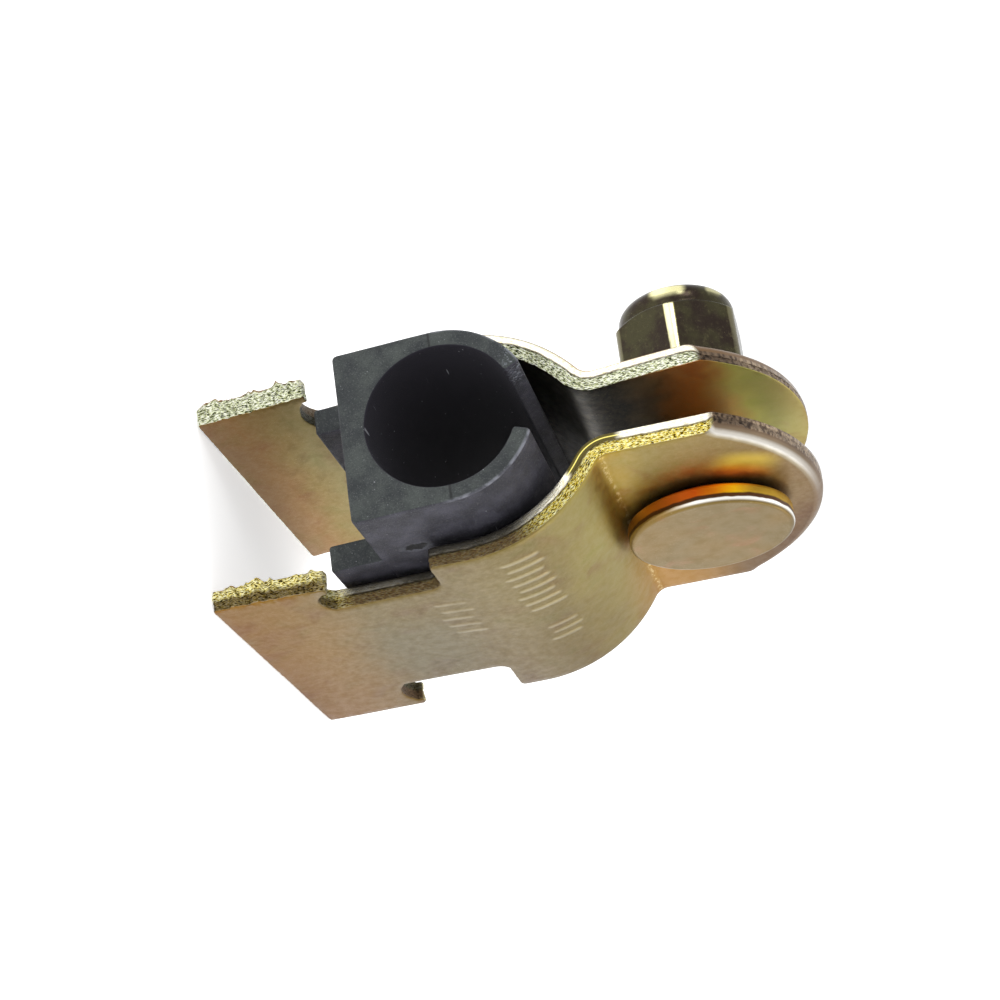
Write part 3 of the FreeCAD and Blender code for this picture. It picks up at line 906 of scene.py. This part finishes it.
def plate_material(name, band, torn_colours, shade_to):
    """Yellow zinc plate with soft rainbow patches, and a bright sheared and a torn band on its edges.

    band is the range of the sheared band through the sheet. The front edge carries painted shade up to
    the height given as the last argument, measured along the sheet.
    """
    s = Shader(name)
    across, along, through, wall, rolled = map(s.attribute, ("across", "along", "through", "wall", "rolled"))
    sheet = s.node("ShaderNodeCombineXYZ", X=across, Y=along, Z=s.times(through, 9.0)).outputs[0]
    low, high = band
    head_side = low > 0

    def face_colour():
        """Colour of the faces, with a painted reflection next to the bolt's head, and painted highlights on
        the bend, the strokes and the rolled-over end.
        """
        drift = s.minus(s.noise(sheet, 0.16, 2.0), 0.5)
        level = s.plus(s.times(along, 1 / SHEET_LENGTH), s.times(drift, 0.09))
        face = s.mix(s.span(through, 0.3, 0.7), s.ramp(level, OUTER_COLOURS), s.ramp(level, INNER_COLOURS_AND_SHADE))
        face = s.mottled(face, sheet, FACE_MOTTLES)
        outside = s.fall(through, 0.2, 0.5)
        to_back = s.times(s.span(across, -8.0, 15.0, 0.0, 0.55), outside)
        face = s.mix(to_back, face, (206, 190, 172), "MULTIPLY")
        back_of_ear = s.times(s.span(along, 35.0, 39.0, 0.0, 0.85), outside, s.span(across, 0.0, 10.0))
        face = s.mix(back_of_ear, face, (200, 172, 144), "MULTIPLY")
        grey = s.times(s.patch(along, 14.0, 2.0, 7.0), s.patch(across, 2.0, 3.0, 11.0, 0.32), outside)
        face = s.mix(grey, face, (88, 88, 72))
        gold = s.times(s.patch(along, 39.0, 1.6, 8.0), s.span(across, 2.0, 11.0, 0.0, 0.5), outside)
        face = s.mix(gold, face, (180, 130, 40))
        # Painted reflection of the bolt's head on the ear: a warm orange to yellow patch beside the head.
        if head_side:
            upward = s.minus(along, HEAD_ALONG)
            from_bolt = s.length(across, upward)
            out = s.plus(s.times(across, -HEAD_REFLECTION_AIM[0]), s.times(upward, HEAD_REFLECTION_AIM[1]))
            aside = s.plus(s.times(across, HEAD_REFLECTION_AIM[1]), s.times(upward, HEAD_REFLECTION_AIM[0]))
            painted_reflection = s.times(s.patch(aside, 0.0, 0.5, 4.0, 0.62),
                           s.span(out, HEAD_RADIUS - 1.0, HEAD_RADIUS + 0.5),
                           s.fall(from_bolt, HEAD_RADIUS + 3.0, HEAD_RADIUS + 5.0), outside)
            away = s.span(from_bolt, HEAD_RADIUS + 0.6, HEAD_RADIUS + 2.6)
            face = s.mix(painted_reflection, face, s.mix(away, (255, 150, 60), (232, 204, 84)))
        # A broken painted highlight along the middle of the bend on the outer face.
        broken = s.span(s.noise(sheet, 1.3, 4.0, 0.7), 0.46, 0.62)
        crease_highlight = s.times(s.patch(along, CREASE, 0.1, 0.6, 0.5), broken, outside)
        face = s.mix(crease_highlight, face, (236, 216, 160))
        # Painted highlight on the raised strokes, stronger where they stand higher.
        face = s.mix(s.times(s.attribute("stroke"), 0.34), face, (206, 196, 166))
        # Painted highlight and shade on the rolled-over end of the ear, fading to a tan towards the back.
        roll = s.ramp(rolled, ROLL_LIGHT_AND_SHADE)
        roll = s.mix(s.span(across, -9.0, 3.0, 0.0, 0.92), roll, (116, 88, 57))
        return s.mix(s.times(s.span(rolled, 0.02, 0.25), outside), face, roll)

    def edge_colour():
        """Colour of the cut edge, with the mask of its smooth band and the height of the torn grain."""
        cells = s.node("ShaderNodeTexVoronoi", Vector=sheet, Scale=2.9)
        grain = s.noise(sheet, 3.1, 2.0, 0.6)
        facet = s.plus(s.times(cells.outputs["Distance"], 0.28), s.times(grain, 0.92))
        torn = s.ramp(facet, torn_colours)
        on_foot = s.fall(along, HOOK_TOP - 1.0, HOOK_TOP + 1.5)
        off_foot = s.minus(1.0, on_foot)
        torn = s.mix(s.times(on_foot, 0.3), torn, s.ramp(facet, PALE_TORN_GRAIN_AND_GLINTS))
        if head_side:
            under = s.times(on_foot, s.fall(through, 0.42, 0.62, 0.85))
            torn = s.mix(under, torn, (92, 68, 34), "MULTIPLY")
        mottle = s.noise(sheet, 2.2, 3.0)
        sheared = s.mix(s.span(mottle, 0.35, 0.75), (255, 252, 238), (222, 210, 166))
        if head_side:
            # In the bend the sheared band is painted dark with a thin light line: a painted reflection and a
            # painted highlight.
            in_bend = s.times(s.span(along, 33.4, 34.2), s.fall(along, 38.6, 39.6))
            shade = s.mix(s.patch(through, 0.82, 0.01, 0.04), (84, 76, 40), (236, 222, 120))
            sheared = s.mix(in_bend, sheared, shade)
        frayed = s.plus(through, s.times(s.minus(s.noise(sheet, 1.3, 4.0), 0.5), 0.16))
        above = s.span(frayed, low - 0.02, low + 0.03)
        below = s.fall(frayed, high - 0.03, high + 0.02)
        smooth = s.times(above, below, off_foot)
        edge = s.mix(smooth, torn, sheared)
        seam = s.times(s.patch(frayed, low if head_side else high, 0.015, 0.07, 0.75), off_foot)
        edge = s.mix(seam, edge, (74, 62, 40))
        # Painted highlight along the edge of the outer face.
        lip_highlight = s.times(s.fall(through, 0.03, 0.09, 0.8), s.span(mottle, 0.4, 0.55))
        edge = s.mix(lip_highlight, edge, (250, 246, 236))
        # Painted shade on the front edge beside the liner: a dark brownish colour, near-black on the inner
        # half of the sheet.
        in_front = s.fall(across, -NECK_FRONT, -NECK_FRONT + 1.0)
        neck = s.times(s.fall(along, shade_to - 4.0, shade_to, 0.9), in_front, off_foot)
        edge_shade = s.mix(s.noise(sheet, 2.6, 3.0), (52, 34, 24), (128, 104, 80))
        edge_shade = s.mix(s.span(through, 0.45, 0.6, 0.0, 0.92), edge_shade, (20, 18, 16))
        edge = s.mix(neck, edge, edge_shade)
        # Painted shade in the relief notch, in the same colour.
        relief = s.times(s.span(across, NECK_BACK - 0.6, NECK_BACK + 0.4),
                         s.fall(across, HALF_WIDTH - HOOK_WIDTH, HALF_WIDTH - 0.7, 0.9),
                         s.fall(along, HOOK_TOP + 0.3, HOOK_TOP + 1.0))
        edge = s.mix(relief, edge, edge_shade)
        streaks = s.noise(s.stretched(sheet, (3.0, 3.0, 0.3)), 1.0)
        round_end = s.mix(s.span(streaks, 0.35, 0.65), (86, 68, 54), (166, 146, 122))
        # Painted shade where the round end of the ear meets its straight sides.
        near_corner = s.span(s.math("ABSOLUTE", across), 12.2, 14.2, 0.0, 0.8)
        corner_end_shade = s.mix(s.span(streaks, 0.4, 0.6), (30, 22, 16), (96, 78, 62))
        round_end = s.mix(near_corner, round_end, corner_end_shade)
        on_round_end = s.span(along, SHEET_SIDE - 0.6, SHEET_SIDE + 0.1)
        return s.mix(on_round_end, edge, round_end), smooth, facet

    on_edge = s.span(wall, 0.72, 0.97)
    edge, smooth, facet = edge_colour()
    face_rough = s.span(s.noise(sheet, 0.9, 4.0, 0.6), 0.3, 0.75, 0.34, 0.47)
    edge_rough = s.mix(smooth, (0.34, 0.34, 0.34, 1), (0.2, 0.2, 0.2, 1))
    scratches = s.times(s.noise(s.stretched(sheet, (9.0, 0.5, 1.0)), 1.0, 2.0), 0.12)
    grain = s.times(s.noise(sheet, 6.0, 5.0, 0.7), 0.5)
    fine = s.bump(s.plus(grain, scratches), 0.32, 0.06 * MM)
    strength = s.times(on_edge, s.span(smooth, 0.0, 1.0, 1.0, 0.08))
    return s.finish(s.mix(on_edge, face_colour(), edge), s.mix(on_edge, face_rough, edge_rough),
                    s.bump(facet, strength, 0.26 * MM, fine), Metallic=s.span(on_edge, 0.0, 1.0, 0.95, 0.92))


def bolt_material():
    """Yellow zinc plate on the turned bolt, with painted reflections and a painted highlight round the side of
    the head.
    """
    s = Shader("bolt_yellow_zinc")
    spot = s.position()
    base = s.mottled((122, 98, 49), spot, (
        ((0.12, 2.0), (0.35, 0.65), (116, 98, 58)),
        ((0.3, 2.0, 0.5, 0.5), (0.55, 0.75, 0.0, 0.45), (142, 100, 68)),
        ((7.5, 3.0), (0.60, 0.78, 0.0, 0.3), (206, 190, 150))))
    below, out = s.attribute("below_face"), s.attribute("out")
    height = s.node("ShaderNodeSeparateXYZ", Vector=spot).outputs["Z"]
    # Painted reflection of the ear in the side of the head, orange low down and yellow higher up.
    painted_reflection = s.ramp(s.span(height, 11.5, 24.0), [
        (0.0, (170, 122, 50)), (0.3, (214, 116, 44)), (0.58, (244, 112, 34)),
        (0.78, (255, 160, 34)), (0.92, (255, 216, 40)), (1.0, (206, 168, 60))])
    level = s.plus(below, s.times(s.minus(s.noise(spot, 0.5, 2.0), 0.5), 0.35))
    # Painted highlight on the upper part of the head's rim, then a dark band of painted reflection, then the
    # painted reflection lower down the side.
    rim = s.mix(s.span(height, 15.0, 19.0), (150, 124, 76), (240, 238, 232))
    side = s.mix(s.span(level, 0.40, 0.50), rim, (92, 64, 44))
    side = s.mix(s.span(level, 0.74, 0.92), side, painted_reflection)
    on_side = s.times(s.span(below, 0.1, 0.3), s.span(out, HEAD_RADIUS - 1.0, HEAD_RADIUS - 0.6))
    return s.finish(s.mix(on_side, base, side), s.span(s.noise(spot, 0.8, 4.0), 0.3, 0.75, 0.3, 0.44),
                    s.bump(s.noise(spot, 5.5, 5.0, 0.7), 0.26, 0.05 * MM), Metallic=0.96)


def nut_material():
    """Dark olive-bronze plate, glossy, with painted highlights on the hexagon's corners, strongest on the
    front one, and on the collar's shoulder.
    """
    s = Shader("nut_dark_bronze")
    spot = s.position()
    base = s.mottled((62, 59, 42), spot, (
        ((0.35, 3.0), (0.38, 0.62), (48, 40, 35)),
        ((2.4, 5.0, 0.7), (0.52, 0.8, 0.0, 0.4), (110, 104, 72)),
        ((9.0, 3.0, 0.6), (0.64, 0.8, 0.0, 0.5), (150, 140, 100))))
    x, y, z = s.node("ShaderNodeSeparateXYZ", Vector=spot).outputs
    ragged = s.times(s.minus(s.noise(spot, 1.6, 3.0), 0.5), 0.4)
    towards_collar = s.span(x, -14.6, -9.0, 0.3, -0.15)
    # Painted highlight down the corners of the hexagon, mostly on the front corner, narrowing away from the
    # collar.
    one_corner = s.span(y, -1.8, -1.0, 1.0, 0.12)
    glint_mask = s.attribute("corner")
    corner = s.span(s.plus(glint_mask, ragged, towards_collar), 0.45, 1.05)
    bright = s.mix(s.span(glint_mask, 0.4, 1.0), (120, 112, 52), (250, 244, 196))
    base = s.mix(s.times(corner, one_corner), base, bright)
    # Painted highlights on the collar's shoulder, one at the front and a weaker one higher up.
    front = s.times(s.patch(z, 19.5, 0.9, 2.3), s.fall(y, 0.5, 1.5))
    high = s.patch(z, 23.6, 0.4, 1.0, 0.55)
    lit = s.times(s.attribute("shoulder"), s.math("MAXIMUM", front, high))
    lit = s.span(s.plus(lit, s.times(ragged, 0.5)), 0.15, 0.95)
    return s.finish(s.mix(lit, base, (238, 232, 176)), s.span(s.noise(spot, 1.2, 4.0), 0.3, 0.75, 0.18, 0.32),
                    s.bump(s.noise(spot, 3.0, 4.0), 0.14, 0.06 * MM), Metallic=0.97)


def rubber_material():
    """Charcoal moulded elastomer: mottled cut ends, smoother sides, light scuffs, a bore painted near-black as
    painted shade, a painted highlight along the arms' front rim and painted shade in the chafed pit.
    """
    s = Shader("liner_charcoal")
    spot = s.position()
    x, y, z = s.node("ShaderNodeSeparateXYZ", Vector=spot).outputs
    normal = s.node("ShaderNodeSeparateXYZ", Vector=s.node("ShaderNodeTexCoord").outputs["Normal"])
    end = s.span(s.math("ABSOLUTE", normal.outputs["Y"]), 0.6, 0.95)
    green = s.mottled((36, 40, 42), spot, (((0.45, 3.0, 0.6), (0.35, 0.68), (57, 62, 60)),))
    purple = s.mottled((40, 39, 47), spot, (((0.5, 3.0, 0.6), (0.35, 0.7), (62, 61, 71)),))
    base = s.mix(end, purple, green)
    speck = s.span(s.noise(spot, 7.5, 3.0, 0.7), 0.52, 0.72)
    base = s.mix(s.times(speck, 0.42), base, (106, 110, 110))
    pits = s.fall(s.noise(spot, 6.1, 4.0, 0.75), 0.33, 0.46)
    base = s.mix(s.times(pits, 0.65), base, (22, 24, 26))
    radius = s.length(x, z)
    on_wall = s.span(s.math("ABSOLUTE", x), BORE_RADIUS - 0.1, BORE_RADIUS)
    seam = s.times(s.patch(z, 0.0, 0.05, 0.14, 0.75), end, on_wall)
    base = s.mix(seam, base, (16, 17, 18))
    from_front = s.plus(y, LINER_LENGTH / 2)
    # Painted highlight along the front rim of the arms.
    on_arm = s.times(s.span(radius, LINER_RADIUS - 0.3, LINER_RADIUS - 0.08), s.span(z, -1.0, 0.5))
    rim = s.times(s.fall(from_front, 0.16, 0.3), on_arm,
                  s.span(s.noise(spot, 0.9, 3.0), 0.4, 0.6, 0.1, 0.5))
    base = s.mix(rim, base, (150, 152, 162))
    # Painted shade: the bore is darkened to near-black.
    bore = s.times(s.fall(radius, BORE_RADIUS + 0.1, BORE_RADIUS + 0.3), s.fall(end, 0.2, 0.8))
    base = s.mix(bore, base, (30, 28, 36))
    streak = s.noise(s.stretched(spot, (2.4, 0.16, 1.6), (0.4, 0.2, 0.3)), 1.0, 2.0)
    dust = s.span(s.noise(spot, 3.3, 2.0, 0.5), 0.74, 0.78)
    marks = s.math("MAXIMUM", s.times(s.span(streak, 0.735, 0.76), 0.4), s.times(dust, 0.6))
    base = s.mix(marks, base, (170, 172, 178))
    rubbed = s.times(s.span(z, 5.6, 6.6), s.fall(from_front, 2.2, 4.2), s.fall(x, -2.0, -1.0))
    scuff = s.span(s.noise(spot, 2.6, 5.0, 0.75, 1.2), 0.52, 0.6, 0.0, 0.55)
    base = s.mix(s.times(rubbed, scuff), base, (150, 156, 166))
    pit = s.length(s.times(s.plus(y, PIT_ALONG), 1 / 0.75), s.times(s.plus(z, PIT_BELOW), 1 / 1.2))
    pit = s.plus(pit, s.times(s.minus(s.noise(spot, 2.2, 3.0), 0.5), 1.2))
    bolt_side = s.span(x, 7.0, 7.4)
    base = s.mix(s.times(bolt_side, s.fall(pit, 0.95, 1.3, 0.1)), base, (150, 154, 162))
    # Painted shade filling the chafed pit.
    base = s.mix(s.times(bolt_side, s.fall(pit, 0.7, 0.95, 0.95)), base, (9, 9, 11))
    rough = s.mix(bore, s.span(s.noise(spot, 2.0, 3.0), 0.3, 0.7, 0.5, 0.68), (0.9, 0.9, 0.9, 1))
    height = s.plus(s.times(s.noise(spot, 5.2, 5.0, 0.75), 0.8), s.times(speck, 0.3))
    height = s.minus(height, s.times(seam, 0.8))
    return s.finish(base, rough, s.bump(height, 0.55, 0.08 * MM), Specular_IOR_Level=0.3)


def nylon_material():
    """Off-white, slightly translucent nylon."""
    s = Shader("ring_natural_nylon")
    spot = s.position()
    base = s.mottled((214, 214, 200), spot, (((0.9, 3.0), (0.35, 0.7), (190, 192, 178)),))
    return s.finish(base, 0.42, s.bump(s.noise(spot, 3.0, 3.0), 0.15, 0.05 * MM),
                    Subsurface_Weight=0.15, Subsurface_Scale=0.6 * MM)


# ---- studio

def make_camera():
    camera = bpy.data.objects.new("camera", bpy.data.cameras.new("camera"))
    bpy.context.scene.collection.objects.link(camera)
    camera.data.lens = CAMERA_LENS
    camera.data.sensor_width = CAMERA_SENSOR
    camera.data.clip_start = 0.01
    forward = Vector((-math.sin(CAMERA_AZIMUTH) * math.cos(CAMERA_ELEVATION),
                      math.cos(CAMERA_AZIMUTH) * math.cos(CAMERA_ELEVATION), -math.sin(CAMERA_ELEVATION)))
    level = forward.cross(Vector((0, 0, 1))).normalized()
    upright = level.cross(forward)
    up = upright * math.cos(CAMERA_ROLL) - level * math.sin(CAMERA_ROLL)
    right = forward.cross(up)
    turn = Matrix((right, up, -forward)).transposed().to_4x4()
    place = CAMERA_TARGET - forward * CAMERA_DISTANCE
    camera.matrix_world = Matrix.Translation(place) @ turn
    bpy.context.scene.camera = camera


def make_floor():
    """A wide pale disc under the feet."""
    lowest = cad_box[0][2]
    bpy.ops.mesh.primitive_circle_add(vertices=96, radius=FLOOR_RADIUS, fill_type="NGON",
                                      location=(0, 0, lowest))
    floor = bpy.context.object
    floor.name = "floor"
    floor.data.materials.append(Shader("pale_floor").finish(
        FLOOR_COLOUR, 0.8, Emission_Color=(1, 1, 1, 1), Emission_Strength=FLOOR_GLOW))


def area_light(name, place, size, power):
    """Square soft light aimed at the object's middle. place and size are in metres, power in watts."""
    data = bpy.data.lights.new(name, "AREA")
    data.shape = "SQUARE"
    data.size = size
    data.energy = power
    light = bpy.data.objects.new(name, data)
    bpy.context.scene.collection.objects.link(light)
    light.location = place
    light.rotation_euler = (-Vector(place)).to_track_quat("-Z", "Y").to_euler()


def make_lights():
    world = bpy.data.worlds.new("studio")
    bpy.context.scene.world = world
    world.use_nodes = True
    background = world.node_tree.nodes["Background"]
    background.inputs["Color"].default_value = (1, 1, 1, 1)
    background.inputs["Strength"].default_value = WORLD_STRENGTH
    for light in LIGHTS:
        area_light(*light)
    bpy.context.scene.view_settings.view_transform = "Standard"


def main():
    make_camera()
    make_floor()
    make_lights()
    head_plate = make_plate("head_side_stamping", "head_half", "head_side_plate", HEAD_SIDE_HOLE,
                            HEAD_SIDE_BAND, False, 11.0)
    nut_plate = make_plate("nut_side_stamping", "nut_half", "nut_side_plate", NUT_SIDE_HOLE,
                           NUT_SIDE_BAND, True, 37.0)
    for piece, material in (
            (head_plate, plate_material("plate_zinc_head_side", HEAD_SIDE_BAND, YELLOW_TORN_GRAIN_AND_GLINTS, HEAD_SIDE_SHADE_TO)),
            (nut_plate, plate_material("plate_zinc_nut_side", NUT_SIDE_BAND, PALE_TORN_GRAIN_AND_GLINTS, 0.0)),
            (make_liner(), rubber_material()), (make_bolt(), bolt_material()),
            (make_nut(), nut_material()), (make_ring(), nylon_material())):
        piece.data.materials.append(material)


main()
